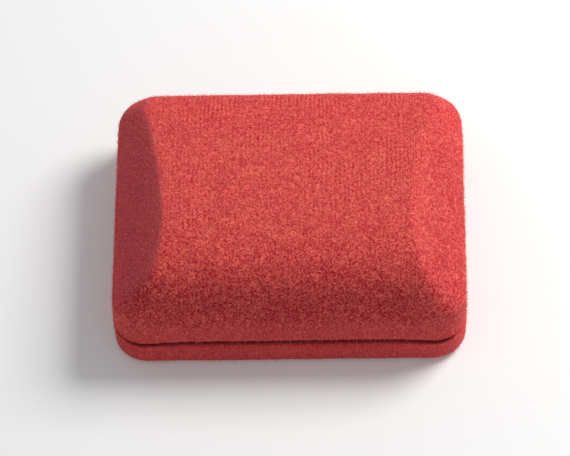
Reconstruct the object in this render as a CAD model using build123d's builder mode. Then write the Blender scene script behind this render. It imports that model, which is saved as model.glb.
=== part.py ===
from build123d import *
import math
import os

# Small clam-shell presentation box for jewellery: a slim base, a deep lid on a hidden hinge,
# both covered in stretch velour. Millimetres, +Z up, +X along the hinge, front towards -Y,
# origin at the middle of the underside.

# Outside of the box
box_width = 74.0
box_depth = 59.0
corner_radius = 7.0
smallest_corner = 1.0
base_rim_height = 7.0
seam_gap = 0.8
wall_top = 14.8

# Lid above its wall, from the side: steep front slope, round nose, shoulder, long arched back
# and short back slope. Angles are in degrees above the horizontal, seen going back.
front_slope_angle = 65.0
front_slope_length = 6.0
nose_round = 11.5
nose_end_angle = 12.0
shoulder_round = 38.0
shoulder_end_angle = -4.5
back_corner_height = 5.4
back_slope_run = 2.7
back_round = 6.0

# Lid above its wall, from the front: bevelled ends, joined to the slopes by cones. Runs are
# per unit of height.
slopes_height = 14.2
end_run = 0.863
slope_corner = 4.5
crown_corner = 2.0
ridge_round = 3.0
wall_edge_round = 1.5

# What tells the lid's edges apart
wall_edge_reach = 2.5
ridge_start = 4.0
edge_margin = 0.2

# Layers of the walls, from the outside in
cover_thickness = 1.0
shell_thickness = 1.0
turn_in_thickness = 0.8
collar_inset = 3.2
collar_thickness = 0.6
collar_round = 0.15
lining_card_thickness = 0.5
lining_satin_thickness = 0.3
wadding_thickness = 2.4
crown_satin_thickness = 0.4

# Rounded edges of the covers, and the slant along the back that lets the lid swing open
rim_round = 1.2
bottom_round = 1.4
slant_angle = 50.0
slant_clearance = 0.07

# Base
panel_thickness = 0.5
panel_inset = 2.5
under_margin = 9.0
under_thickness = 0.8
turn_in_reach = 3.6
collar_top = 10.0

# Jewel pad
pad_clearance = 0.3
pad_wrap_thickness = 0.3
pad_margin = 6.0
pad_board_thickness = 0.6
pad_foam_thickness = 1.8
pad_velvet_thickness = 0.5
pad_round = 0.9
slit_length = 28.0
slit_width = 1.2

# Linings of the lid
lining_bottom = 10.4
lining_top = 14.9
wadding_bottom = 15.6
piping_radius = 0.6

# Hinge, its rivets and its spring
hinge_length = 40.0
hinge_inset = 1.2
barrel_radius = 1.1
pin_radius = 0.5
pin_clearance = 0.05
knuckle_count = 5
knuckle_gap = 0.2
leaf_thickness = 0.5
leaf_reach = 4.5
leaf_step = 1.4
hinge_clearance = 0.3
rivet_radius = 0.6
rivet_head_radius = 1.1
rivet_head_thickness = 0.25
rivet_clearance = 0.02
rivet_drop = 3.1
rivet_places = (-16.0, -8.0, 8.0, 16.0)
spring_thickness = 0.3
spring_foot_length = 36.0
spring_foot_height = 2.4
spring_foot_round = 0.8
spring_neck_width = 5.0
spring_pad_thickness = 0.15
spring_pad_height = 0.7

# Places that follow from them
half_width = box_width / 2
half_depth = box_depth / 2
slopes_top = wall_top + slopes_height
front_run = 1 / math.tan(math.radians(front_slope_angle))
back_run = back_slope_run / back_corner_height
shell_inner = cover_thickness + shell_thickness
turn_in_inner = shell_inner + turn_in_thickness
collar_inner = collar_inset + collar_thickness
shell_bottom = panel_thickness + under_thickness
well_floor = shell_bottom + shell_thickness
base_shell_top = base_rim_height - cover_thickness
lid_rim = base_rim_height + seam_gap
lid_shell_bottom = lid_rim + cover_thickness
lining_card_inner = collar_inset + lining_card_thickness
lining_inner = lining_card_inner + lining_satin_thickness
wadding_inner = shell_inner + wadding_thickness
crown_inner = wadding_inner + crown_satin_thickness
hinge_y = half_depth - hinge_inset
hinge_z = base_rim_height + seam_gap / 2
leaf_inner_y = half_depth - shell_inner - leaf_thickness


def plan(inset, height):
    """The box's rounded outline, brought in by inset, at a height."""
    radius = max(corner_radius - inset, smallest_corner)
    with BuildSketch(Plane.XY.offset(height)) as outline:
        RectangleRounded(box_width - 2 * inset, box_depth - 2 * inset, radius)
    return outline.sketch


def ring(outer_inset, inner_inset, height):
    """A flat ring between two of the box's outlines."""
    return plan(outer_inset, height) - plan(inner_inset, height)


def lid_side(inset):
    """The lid from its side: wall, front slope, nose, shoulder, arched back, back slope."""
    back_corner = (half_depth - back_slope_run, wall_top + back_corner_height)
    with BuildSketch(Plane.YZ.offset(-half_width)) as side:
        with BuildLine():
            front = PolarLine((-half_depth, wall_top), front_slope_length, front_slope_angle)
            nose = JernArc(front @ 1, front % 1, nose_round, nose_end_angle - front_slope_angle)
            shoulder = JernArc(
                nose @ 1, nose % 1, shoulder_round, shoulder_end_angle - nose_end_angle
            )
            TangentArc(shoulder @ 1, back_corner, tangent=shoulder % 1)
            Polyline(
                back_corner,
                (half_depth, wall_top),
                (half_depth, 0),
                (-half_depth, 0),
                (-half_depth, wall_top),
            )
        make_face()
        fillet(side.vertices().sort_by_distance(back_corner)[0], back_round)
        if inset > 0:
            offset(amount=-inset)
    return side.sketch


def slope_section(inset, height):
    """Level section through the lid's slopes, brought in by inset, at a height."""
    rise = height - wall_top

    def place(start, run):
        return start - rise * run - inset * math.hypot(1, run)

    front, back = place(half_depth, front_run), place(half_depth, back_run)
    corner_run = (slope_corner - crown_corner) / slopes_height
    radius = max(slope_corner - rise * corner_run - inset, smallest_corner)
    with BuildSketch(Plane.XY.offset(height)) as section:
        with Locations((0, (back - front) / 2)):
            RectangleRounded(2 * place(half_width, end_run), front + back, radius)
    return section.sketch


def lid_walls(inset, bottom):
    """The lid's walls and slopes without its crown, brought in by inset, from bottom up."""
    with BuildPart() as walls:
        loft([slope_section(inset, lid_rim), slope_section(inset, slopes_top)], ruled=True)
        extrude(plan(inset, bottom), amount=slopes_top, mode=Mode.INTERSECT)
    return walls.part


def lid_form(inset, bottom):
    """The lid's outer form as a solid, brought in by inset, from bottom up."""
    with BuildPart() as form:
        add(lid_walls(inset, bottom))
        extrude(lid_side(inset), amount=box_width, mode=Mode.INTERSECT)
    return form.part


def is_wall_edge(edge):
    """True for the edges where the lid's wall meets its slopes."""
    return (
        abs(edge.center().Z - wall_top) < wall_edge_reach
        and edge.bounding_box().size.Z < wall_edge_reach
    )


def is_ridge(edge):
    """True for the edges where the lid's crown meets its ends and corners."""
    size = edge.bounding_box().size
    is_straight_down = edge.geom_type == GeomType.LINE and size.Z > ridge_start
    return (
        edge.center().Z > wall_top + ridge_start
        and size.Y > edge_margin
        and abs(edge.center().X) > edge_margin
        and not is_straight_down
    )


def rounded_lid_form():
    """The outer form of the lid with its ridges and the edge of its wall rounded."""
    with BuildPart() as form:
        add(lid_walls(0, lid_rim))
        fillet(form.edges().filter_by(is_wall_edge), wall_edge_round)
        extrude(lid_side(0), amount=box_width, mode=Mode.INTERSECT)
        fillet(form.edges().filter_by(is_ridge), ridge_round)
    return form.part


def hinge_room(outer_inset, inner_inset, bottom, top):
    """A block along the hinge between two depths into the back wall and two heights."""
    with BuildPart() as room:
        with BuildSketch(Plane.XY.offset(bottom)):
            with Locations((0, half_depth - outer_inset)):
                Rectangle(
                    hinge_length + 2 * hinge_clearance,
                    inner_inset - outer_inset,
                    align=(Align.CENTER, Align.MAX),
                )
        extrude(amount=top - bottom)
    return room.part


def back_slant(upward):
    """What is cut off a rim along the back so that the open lid clears the base.

    Upward is 1 for the lid's rim or -1 for the base's.
    """
    depth = 2 * hinge_inset
    start = hinge_z + upward * slant_clearance
    with BuildPart() as wedge:
        with BuildSketch(Plane.YZ.offset(-half_width)):
            with BuildLine():
                Polyline(
                    (hinge_y, start),
                    (hinge_y + depth, start),
                    (hinge_y + depth, start + upward * depth * math.tan(math.radians(slant_angle))),
                    close=True,
                )
            make_face()
        extrude(amount=box_width)
    return wedge.part


def rivet_row(height, grip, clearance=0):
    """Rivets through the back wall at a height, or with a clearance the room for them."""
    with BuildPart() as row:
        for depth, radius, length in (
            (cover_thickness, rivet_head_radius, rivet_head_thickness),
            (cover_thickness, rivet_radius, grip),
            (cover_thickness + grip, rivet_head_radius, rivet_head_thickness),
        ):
            with BuildSketch(Plane.XZ.offset(depth - half_depth)):
                with Locations(*[(place, height) for place in rivet_places]):
                    Circle(radius + clearance)
            extrude(amount=length)
    return row.part


def leaf(upward, knuckles, hole_radius):
    """A hinge leaf: a plate inside the back wall, with curled knuckles. Upward is 1 or -1."""
    length = (hinge_length - (knuckle_count - 1) * knuckle_gap) / knuckle_count
    with BuildPart() as pressing:
        plate_height = leaf_reach - leaf_step
        with BuildSketch(Plane.YZ.offset(-hinge_length / 2)):
            with Locations((leaf_inner_y, hinge_z + upward * (leaf_step + plate_height / 2))):
                Rectangle(leaf_thickness, plate_height, align=(Align.MIN, Align.CENTER))
        extrude(amount=hinge_length)
        for number in knuckles:
            start = number * (length + knuckle_gap) - hinge_length / 2
            with BuildSketch(Plane.YZ.offset(start)):
                with Locations((hinge_y, hinge_z)):
                    Circle(barrel_radius)
                arm_z = hinge_z + upward * (barrel_radius - leaf_thickness / 2)
                with Locations((leaf_inner_y, arm_z)):
                    Rectangle(
                        hinge_y - leaf_inner_y,
                        leaf_thickness,
                        align=(Align.MIN, Align.CENTER),
                    )
                stub = leaf_step - barrel_radius + leaf_thickness
                with Locations((leaf_inner_y, hinge_z + upward * (leaf_step - stub / 2))):
                    Rectangle(leaf_thickness, stub, align=(Align.MIN, Align.CENTER))
                with Locations((hinge_y, hinge_z)):
                    Circle(hole_radius, mode=Mode.SUBTRACT)
            extrude(amount=length)
    return pressing.part


def finish(name, piece):
    """Label a finished piece and write it."""
    piece.part.label = name
    export_step(piece.part, f"parts/{name}.step")


os.makedirs("parts", exist_ok=True)
lid_grip = shell_thickness + leaf_thickness
base_grip = lid_grip + spring_thickness
base_rivet_z = hinge_z - rivet_drop
lid_rivet_z = hinge_z + rivet_drop

# Base shell: a moulded tray, with the rivets' holes in its back wall
with BuildPart() as base_shell:
    extrude(plan(cover_thickness, shell_bottom), amount=base_shell_top - shell_bottom)
    extrude(plan(shell_inner, well_floor), amount=base_shell_top, mode=Mode.SUBTRACT)
    add(rivet_row(base_rivet_z, base_grip, rivet_clearance), mode=Mode.SUBTRACT)
finish("base_shell", base_shell)

# Base cover: velour round the tray, turned in over its rim and under its bottom
with BuildPart() as base_cover:
    extrude(plan(0, panel_thickness), amount=base_rim_height - panel_thickness)
    fillet(base_cover.edges().group_by(Axis.Z)[-1], rim_round)
    fillet(base_cover.edges().group_by(Axis.Z)[0], bottom_round)
    extrude(
        plan(cover_thickness, shell_bottom),
        amount=base_shell_top - shell_bottom,
        mode=Mode.SUBTRACT,
    )
    extrude(plan(turn_in_inner, base_shell_top), amount=cover_thickness, mode=Mode.SUBTRACT)
    extrude(plan(under_margin, panel_thickness), amount=under_thickness, mode=Mode.SUBTRACT)
    turn_in_bottom = base_shell_top - turn_in_reach
    extrude(ring(shell_inner, turn_in_inner, turn_in_bottom), amount=turn_in_reach)
    add(back_slant(-1), mode=Mode.SUBTRACT)
    add(hinge_room(-1, turn_in_inner, base_shell_top, base_rim_height), mode=Mode.SUBTRACT)
    add(
        hinge_room(shell_inner, turn_in_inner, turn_in_bottom, base_shell_top),
        mode=Mode.SUBTRACT,
    )
finish("base_cover", base_cover)

# Bottom panel: covered card, the face that the box rests on
with BuildPart() as bottom_panel:
    extrude(plan(panel_inset, 0), amount=panel_thickness)
finish("bottom_panel", bottom_panel)

# Base collar: a gilt strip that stands up inside the rim and centres the lid
with BuildPart() as base_collar:
    extrude(ring(collar_inset, collar_inner, well_floor), amount=collar_top - well_floor)
    fillet(base_collar.edges().group_by(Axis.Z)[-1], collar_round)
finish("base_collar", base_collar)

# Jewel pad: board, foam, and velvet turned under the board, slit to hold a jewel
pad_inset = collar_inner + pad_clearance
pad_core_inset = pad_inset + pad_velvet_thickness
board_bottom = well_floor + pad_wrap_thickness
foam_bottom = board_bottom + pad_board_thickness
foam_top = foam_bottom + pad_foam_thickness
pad_top = foam_top + pad_velvet_thickness
with BuildPart() as pad_board:
    extrude(plan(pad_core_inset, board_bottom), amount=pad_board_thickness)
finish("pad_board", pad_board)

with BuildPart() as pad_foam:
    extrude(plan(pad_core_inset, foam_bottom), amount=pad_foam_thickness)
    with BuildSketch(Plane.XY.offset(foam_bottom)):
        SlotOverall(slit_length, slit_width)
    extrude(amount=pad_foam_thickness, mode=Mode.SUBTRACT)
finish("pad_foam", pad_foam)

with BuildPart() as pad_cover:
    extrude(plan(pad_inset, well_floor), amount=pad_top - well_floor)
    fillet(pad_cover.edges().group_by(Axis.Z)[-1], pad_round)
    extrude(plan(pad_core_inset, board_bottom), amount=foam_top - board_bottom, mode=Mode.SUBTRACT)
    extrude(plan(pad_inset + pad_margin, well_floor), amount=pad_wrap_thickness, mode=Mode.SUBTRACT)
    with BuildSketch(Plane.XY.offset(foam_top)):
        SlotOverall(slit_length, slit_width)
    extrude(amount=pad_velvet_thickness, mode=Mode.SUBTRACT)
finish("pad_cover", pad_cover)

# Lid shell: moulded, with the vault and the bevelled ends, and the rivets' holes
with BuildPart() as lid_shell:
    add(lid_form(cover_thickness, lid_shell_bottom))
    add(lid_form(shell_inner, lid_shell_bottom), mode=Mode.SUBTRACT)
    add(rivet_row(lid_rivet_z, lid_grip, rivet_clearance), mode=Mode.SUBTRACT)
finish("lid_shell", lid_shell)

# Lid cover: velour over the shell, turned in over its rim
with BuildPart() as lid_cover:
    add(rounded_lid_form())
    fillet(lid_cover.edges().group_by(Axis.Z)[0], rim_round)
    add(lid_form(cover_thickness, lid_shell_bottom), mode=Mode.SUBTRACT)
    extrude(plan(turn_in_inner, lid_rim), amount=cover_thickness, mode=Mode.SUBTRACT)
    extrude(ring(shell_inner, turn_in_inner, lid_shell_bottom), amount=turn_in_reach)
    add(back_slant(1), mode=Mode.SUBTRACT)
    add(hinge_room(-1, turn_in_inner, lid_rim, lid_shell_bottom), mode=Mode.SUBTRACT)
    add(
        hinge_room(shell_inner, turn_in_inner, lid_shell_bottom, lid_shell_bottom + turn_in_reach),
        mode=Mode.SUBTRACT,
    )
finish("lid_cover", lid_cover)

# Wall lining of the lid: a card strip, and satin over it and under its lower edge
card_bottom = lining_bottom + lining_satin_thickness
with BuildPart() as lid_lining_card:
    extrude(ring(collar_inset, lining_card_inner, card_bottom), amount=lining_top - card_bottom)
finish("lid_lining_card", lid_lining_card)

with BuildPart() as lid_lining_satin:
    extrude(ring(collar_inset, lining_inner, lining_bottom), amount=lining_satin_thickness)
    extrude(ring(lining_card_inner, lining_inner, card_bottom), amount=lining_top - card_bottom)
finish("lid_lining_satin", lid_lining_satin)

# Crown lining of the lid: wadding under the shell, satin drawn over the wadding
with BuildPart() as lid_wadding:
    add(lid_form(shell_inner, wadding_bottom))
    add(lid_form(wadding_inner, wadding_bottom), mode=Mode.SUBTRACT)
finish("lid_wadding", lid_wadding)

with BuildPart() as lid_satin:
    add(lid_form(wadding_inner, wadding_bottom))
    add(lid_form(crown_inner, wadding_bottom), mode=Mode.SUBTRACT)
finish("lid_satin", lid_satin)

# Piping: a cord round the lid where the two satins meet
piping_path = plan(lining_inner + piping_radius, lining_top).wire()
with BuildPart() as lid_piping:
    with BuildSketch(Plane(origin=piping_path @ 0, z_dir=piping_path % 0)):
        Circle(piping_radius)
    sweep(path=piping_path)
finish("lid_piping", lid_piping)

# Hinge: the lid's leaf runs on the pin, the base's leaf grips it
with BuildPart() as hinge_leaf_base:
    add(leaf(-1, range(1, knuckle_count, 2), pin_radius))
    add(rivet_row(base_rivet_z, base_grip, rivet_clearance), mode=Mode.SUBTRACT)
finish("hinge_leaf_base", hinge_leaf_base)

with BuildPart() as hinge_leaf_lid:
    add(leaf(1, range(0, knuckle_count, 2), pin_radius + pin_clearance))
    add(rivet_row(lid_rivet_z, lid_grip, rivet_clearance), mode=Mode.SUBTRACT)
finish("hinge_leaf_lid", hinge_leaf_lid)

with BuildPart() as hinge_pin:
    with BuildSketch(Plane.YZ.offset(-hinge_length / 2)):
        with Locations((hinge_y, hinge_z)):
            Circle(pin_radius)
    extrude(amount=hinge_length)
finish("hinge_pin", hinge_pin)

# Hinge spring: a flat strip riveted with the base's leaf, its tip on the lid's middle knuckle
spring_top = hinge_z + spring_pad_height / 2
with BuildPart() as hinge_spring:
    with BuildSketch(Plane.XZ.offset(-leaf_inner_y)):
        with Locations((0, base_rivet_z)):
            RectangleRounded(spring_foot_length, spring_foot_height, spring_foot_round)
            Rectangle(
                spring_neck_width,
                spring_top - base_rivet_z,
                align=(Align.CENTER, Align.MIN),
            )
    extrude(amount=spring_thickness)
    with BuildSketch(Plane.XZ.offset(-leaf_inner_y)):
        with Locations((0, hinge_z)):
            Rectangle(spring_neck_width, spring_pad_height)
    extrude(amount=-spring_pad_thickness)
    add(rivet_row(base_rivet_z, base_grip, rivet_clearance), mode=Mode.SUBTRACT)
finish("hinge_spring", hinge_spring)

# Rivets of both leaves
with BuildPart() as hinge_rivets_base:
    add(rivet_row(base_rivet_z, base_grip))
finish("hinge_rivets_base", hinge_rivets_base)

with BuildPart() as hinge_rivets_lid:
    add(rivet_row(lid_rivet_z, lid_grip))
finish("hinge_rivets_lid", hinge_rivets_lid)
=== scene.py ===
import math
import random

import bmesh
import bpy
from bpy.props import FloatProperty, FloatVectorProperty, IntProperty, PointerProperty
from bpy.types import Operator, Panel, PropertyGroup
from mathutils import Matrix, Vector


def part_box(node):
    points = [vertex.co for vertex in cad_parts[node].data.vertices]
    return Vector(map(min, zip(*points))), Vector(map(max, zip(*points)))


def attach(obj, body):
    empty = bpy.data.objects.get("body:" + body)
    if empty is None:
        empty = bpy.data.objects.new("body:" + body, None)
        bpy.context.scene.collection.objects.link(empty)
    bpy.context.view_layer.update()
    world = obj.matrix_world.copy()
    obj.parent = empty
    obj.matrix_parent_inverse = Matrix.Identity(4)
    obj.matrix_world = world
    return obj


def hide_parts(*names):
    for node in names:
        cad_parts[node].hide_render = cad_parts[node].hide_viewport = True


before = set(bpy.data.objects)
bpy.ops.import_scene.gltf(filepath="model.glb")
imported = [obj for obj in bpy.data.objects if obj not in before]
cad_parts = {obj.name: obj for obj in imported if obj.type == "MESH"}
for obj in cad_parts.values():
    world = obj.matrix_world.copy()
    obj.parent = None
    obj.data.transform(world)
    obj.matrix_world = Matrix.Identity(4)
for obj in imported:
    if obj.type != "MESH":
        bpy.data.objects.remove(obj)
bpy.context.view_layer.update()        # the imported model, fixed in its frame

bl_info = {
    "name": "Velour presentation box",
    "version": (1, 0, 0),
    "blender": (4, 5, 0),
    "location": "3D View > Sidebar > Box",
    "description": "Covers, pad, linings, finishes and studio of a small clam-shell jewellery box",
    "category": "Add Mesh",
}

MM = 0.001
PRECISE = 1e-6

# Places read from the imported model
LID_LOW, LID_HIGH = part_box("lid_cover")
BASE_LOW, BASE_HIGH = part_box("base_cover")
PAD_LOW, PAD_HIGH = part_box("pad_cover")
BOARD_LOW, BOARD_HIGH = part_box("pad_board")
FOAM_LOW, FOAM_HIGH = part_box("pad_foam")
SHELL_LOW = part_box("lid_shell")[0]
TRAY_LOW, TRAY_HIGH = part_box("base_shell")
VAULT_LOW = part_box("lid_satin")[0]
CARD_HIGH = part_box("lid_lining_card")[1]
BAND_LOW, BAND_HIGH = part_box("lid_lining_satin")
CORD_LOW, CORD_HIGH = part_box("lid_piping")
LEAF_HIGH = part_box("hinge_leaf_lid")[1]
PIN_LOW, PIN_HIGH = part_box("hinge_pin")
HALF_WIDTH = LID_HIGH.x
HALF_DEPTH = LID_HIGH.y
HINGE_Y = (PIN_LOW.y + PIN_HIGH.y) / 2
HINGE_Z = (PIN_LOW.z + PIN_HIGH.z) / 2


def length(name, millimetres, description):
    """A length property, given in millimetres."""
    return FloatProperty(
        name=name, description=description, default=millimetres * MM, unit="LENGTH", precision=5
    )


def angle(name, degrees, description):
    """An angle property, given in degrees."""
    return FloatProperty(
        name=name, description=description, default=math.radians(degrees), subtype="ANGLE"
    )


def colour(name, value, description):
    """A colour property."""
    return FloatVectorProperty(
        name=name, description=description, default=value, subtype="COLOR", size=3, min=0.0, max=1.0
    )


class BoxForm(PropertyGroup):
    """Outside of the box and its layers."""

    corner_radius: length("Corner radius", 7.0, "Radius of the four upright corners")
    smallest_corner: length("Smallest corner", 1.0, "Least corner radius of the inner layers")
    wall_top: length("Wall top", 14.8, "Height at which the lid's upright wall ends")
    slopes_rise: length("Slopes' rise", 14.2, "Height of the slopes above the wall")
    front_slope: angle("Front slope", 65.0, "Steepness of the front slope")
    front_slope_length: length("Front slope length", 6.0, "Length of the straight front slope")
    nose_round: length("Nose", 11.5, "Radius of the round nose over the front slope")
    nose_end: angle("Nose's end", 12.0, "Slope at which the nose runs into the shoulder")
    shoulder_round: length("Shoulder", 38.0, "Radius of the shoulder behind the nose")
    shoulder_end: angle("Shoulder's end", -4.5, "Slope at which the shoulder runs into the arch")
    back_run: length("Back run", 2.7, "How far the short back slope leans in")
    back_rise: length("Back rise", 5.4, "Height of the short back slope")
    back_round: length("Back rounding", 6.0, "Radius along the back edge")
    end_run: length("End run", 12.25, "How far the bevels of the ends lean in over the slopes' rise")
    slope_corner: length("Slope corner", 4.5, "Corner radius of the slopes at the wall's top")
    crown_corner: length("Crown corner", 2.0, "Corner radius of the slopes at their top")
    rim_round: length("Rim rounding", 1.2, "Radius of the velour where it turns in over a rim")
    back_ease: length("Back ease", 0.55, "How much thinner the velour is on the back corners' cones")
    foot_round: length("Foot rounding", 1.4, "Radius of the velour where it turns under the base")
    slant: angle("Back slant", 50.0, "Steepness of the rims along the back, which clear each other")
    slant_room: length("Slant's room", 0.2, "How far the slant stays away from the hinge's middle plane")
    cover: length("Cover", 1.0, "Thickness of the velour")
    shell: length("Shell", 1.0, "Thickness of the moulded shells")
    turn_in: length("Turn-in", 0.8, "Thickness of the velour that is turned in over a rim")
    turn_in_reach: length("Turn-in reach", 3.6, "How far the turned-in velour goes along the wall")
    under_margin: length("Under margin", 9.0, "Width of the velour turned under the base")
    fit: length("Fit", 0.1, "Room between neighbouring soft pieces")


class VelourLook(PropertyGroup):
    """The knit velour outside."""

    mesh_step: length("Mesh step", 0.37, "Distance between the points of the velour's surface")
    pile_height: length("Pile unevenness", 0.11, "How far the tufts of the pile stand proud")
    pile_size: length("Pile unevenness size", 0.9, "Distance between those tufts")
    sag_height: length("Slow unevenness", 0.22, "How far the surface wanders over a few millimetres")
    sag_size: length("Slow unevenness size", 7.0, "Over how long a way the surface wanders")
    rib_pitch: length("Rib pitch", 0.9, "Distance between the ribs of the knit")
    tuft_size: length("Tuft size", 0.38, "Size of the tufts of the pile")
    dark: colour("Dark pile", (0.41, 0.005, 0.024), "Colour between the tufts")
    light: colour("Light pile", (0.89, 0.135, 0.108), "Colour on the tufts")
    fibre: colour("Loose fibres", (0.92, 0.30, 0.22), "Colour of the paler loose ends of the pile")
    # The warm colour is also painted on the top as a highlight where the pile catches the key light
    warm: colour("Warm pile", (0.90, 0.20, 0.10), "Colour of the warmer patches")
    # Painted shade: a cooler crimson laid over the left bevel, which faces away from the key light
    shaded_left_bevel: colour("Painted shade on the left bevel", (0.60, 0.060, 0.105), "Colour of the painted shade on the left bevel")
    fibre_count: IntProperty(
        name="Fibres", description="Loose ends of the pile on the lid", default=26000
    )
    fibre_length: length("Fibre length", 0.6, "Length of the loose ends of the pile")
    fibre_width: length("Fibre width", 0.05, "Radius of the loose ends of the pile at their root")


class InsideLook(PropertyGroup):
    """Pad, linings and gilt strip."""

    ivory: colour("Ivory velvet", (0.74, 0.68, 0.56), "Colour of the jewel pad")
    satin: colour("Satin", (0.78, 0.73, 0.62), "Colour of the lid's lining")
    gilt: colour("Gilt", (0.83, 0.60, 0.26), "Colour of the strip inside the rim")
    pressure: FloatProperty(
        name="Pressure", description="Pressure that swells the padded pieces", default=4.0
    )
    pad_round: length("Pad rounding", 0.9, "Radius round the top of the pad")
    pad_swell: length("Pad swell", 0.6, "How far the velvet swells over the foam at most")
    slit_length: length("Slit length", 28.0, "Length of the slit that holds a jewel")
    slit_width: length("Slit width", 1.2, "Width of that slit")
    lip_width: length("Lip width", 1.6, "How far from the slit its lips sink in")
    lip_depth: length("Lip depth", 0.35, "How deep the lips of the slit sink in")
    crown_inset: length("Crown inset", 4.5, "Distance of the crown's satin from the lid's outside")
    satin_swell: length("Satin swell", 2.6, "How far the satin swells over the wadding at most")
    satin_thickness: length("Satin thickness", 0.3, "Thickness of the satin")
    gather_height: length("Gather height", 7.0, "How far the gathers reach up from the satin's edge")
    gather_depth: length("Gather depth", 0.8, "How deep the gathers are")
    cord_lay: length("Lay of the cord", 2.2, "Length of one turn of the piping's strands")


class StudioSettings(PropertyGroup):
    """Camera and light."""

    elevation: angle("Elevation", 54.472, "Height of the camera above the horizon")
    turn: angle("Turn", 2.555, "Turn of the camera round the box")
    roll: angle("Roll", -2.790, "Tilt of the camera's horizon")
    distance: length("Distance", 825.36, "Distance of the camera from its target")
    aim_x: length("Aim across", -1.362, "Target of the camera, across")
    aim_y: length("Aim along", 5.498, "Target of the camera, along")
    focal_px: FloatProperty(
        name="Focal length", description="Focal length in pixels of the picture", default=3823.5
    )
    picture_px: FloatProperty(
        name="Picture width", description="Width of the picture in pixels", default=570.0
    )
    key_direction: FloatVectorProperty(
        name="Key direction", description="Where the key light stands", default=(0.59, 0.33, 0.74)
    )
    key_distance: length("Key distance", 650.0, "Distance of the key light from the box")
    key_size: length("Key size", 330.0, "Diameter of the key light")
    key_power: FloatProperty(name="Key power", description="Watts of the key light", default=4.5)
    sky_level: FloatProperty(
        name="Sky level", description="Strength of the surroundings", default=0.39
    )
    floor: colour("Floor", (0.752, 0.757, 0.762), "Colour of the floor")
    floor_glow: FloatProperty(
        name="Floor glow", description="Light that the floor sends out", default=0.11
    )


def start_from(piece):
    """Make one piece the only selected and active one."""
    bpy.ops.object.select_all(action="DESELECT")
    piece.select_set(True)
    bpy.context.view_layer.objects.active = piece


def edit(piece):
    """Open a piece in edit mode."""
    start_from(piece)
    bpy.ops.object.mode_set(mode="EDIT")


def leave():
    """Close edit mode."""
    bpy.ops.object.mode_set(mode="OBJECT")


def pick(piece, kind, test):
    """In edit mode, select only the vertices, edges or faces that pass a test."""
    bpy.ops.mesh.select_mode(type=kind)
    bpy.ops.mesh.select_all(action="DESELECT")
    mesh = bmesh.from_edit_mesh(piece.data)
    for element in {"VERT": mesh.verts, "EDGE": mesh.edges, "FACE": mesh.faces}[kind]:
        if test(element):
            element.select_set(True)
    bmesh.update_edit_mesh(piece.data)


def upright(edge):
    """True for an edge that stands upright."""
    first, second = edge.verts
    return abs(first.co.z - second.co.z) > PRECISE and (first.co - second.co).xy.length < PRECISE


def at_height(height):
    """A test for edges and faces that lie level at a height."""
    return lambda element: all(abs(v.co.z - height) < PRECISE for v in element.verts)


def block(name, low, high):
    """A block between two corners."""
    bpy.ops.object.select_all(action="DESELECT")
    low, high = Vector(low), Vector(high)
    bpy.ops.mesh.primitive_cube_add(size=1.0, location=(low + high) / 2)
    piece = bpy.context.active_object
    piece.name = name
    piece.scale = high - low
    bpy.ops.object.transform_apply(location=True, rotation=True, scale=True)
    return piece


def rounded_block(name, inset, bottom, top, steps=10):
    """A block with the box's rounded outline, brought in by inset, between two heights."""
    form = bpy.context.scene.box_form
    half_x = HALF_WIDTH - inset
    half_y = HALF_DEPTH - inset
    piece = block(name, (-half_x, -half_y, bottom), (half_x, half_y, top))
    edit(piece)
    pick(piece, "EDGE", upright)
    radius = max(form.corner_radius - inset, form.smallest_corner)
    bpy.ops.mesh.bevel(offset=radius, segments=steps, affect="EDGES")
    leave()
    return piece


def round_level_edge(piece, height, radius, steps=5):
    """Round the edge that runs round a piece at a height."""
    edit(piece)
    pick(piece, "EDGE", at_height(height))
    bpy.ops.mesh.bevel(offset=radius, segments=steps, affect="EDGES")
    leave()


def reach(section, across, along):
    """How far a rounded level section extends in a level direction."""
    half_x, front, back, radius = section
    end = back - radius if along > 0 else front + radius
    return abs(across) * (half_x - radius) + along * end + radius


def slope_planes(form, inset, ease=0.0):
    """Planes on the lid's slopes: ends, front, back, and the cones that join them at the corners.

    Ease brings the cones at the back further in, which rounds them more.
    """
    rise = form.slopes_rise
    foot_section = (HALF_WIDTH, -HALF_DEPTH, HALF_DEPTH, form.slope_corner)
    crown_section = (
        HALF_WIDTH - form.end_run,
        rise / math.tan(form.front_slope) - HALF_DEPTH,
        HALF_DEPTH - form.back_run * rise / form.back_rise,
        form.crown_corner,
    )
    steps = 40
    for step in range(steps):
        turn = 2 * math.pi * step / steps
        across, along = math.cos(turn), math.sin(turn)
        foot = reach(foot_section, across, along)
        lean = (foot - reach(crown_section, across, along)) / rise
        normal = Vector((across, along, lean)).normalized()
        start = Vector((across * foot, along * foot, form.wall_top))
        eased = ease * 2 * abs(across) * max(along, 0.0)
        yield start - (inset + eased) * normal, normal


def outward_at(slope):
    """Direction out of the lid where its side view rises at a slope, going back."""
    return Vector((-math.sin(slope), math.cos(slope)))


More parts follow.
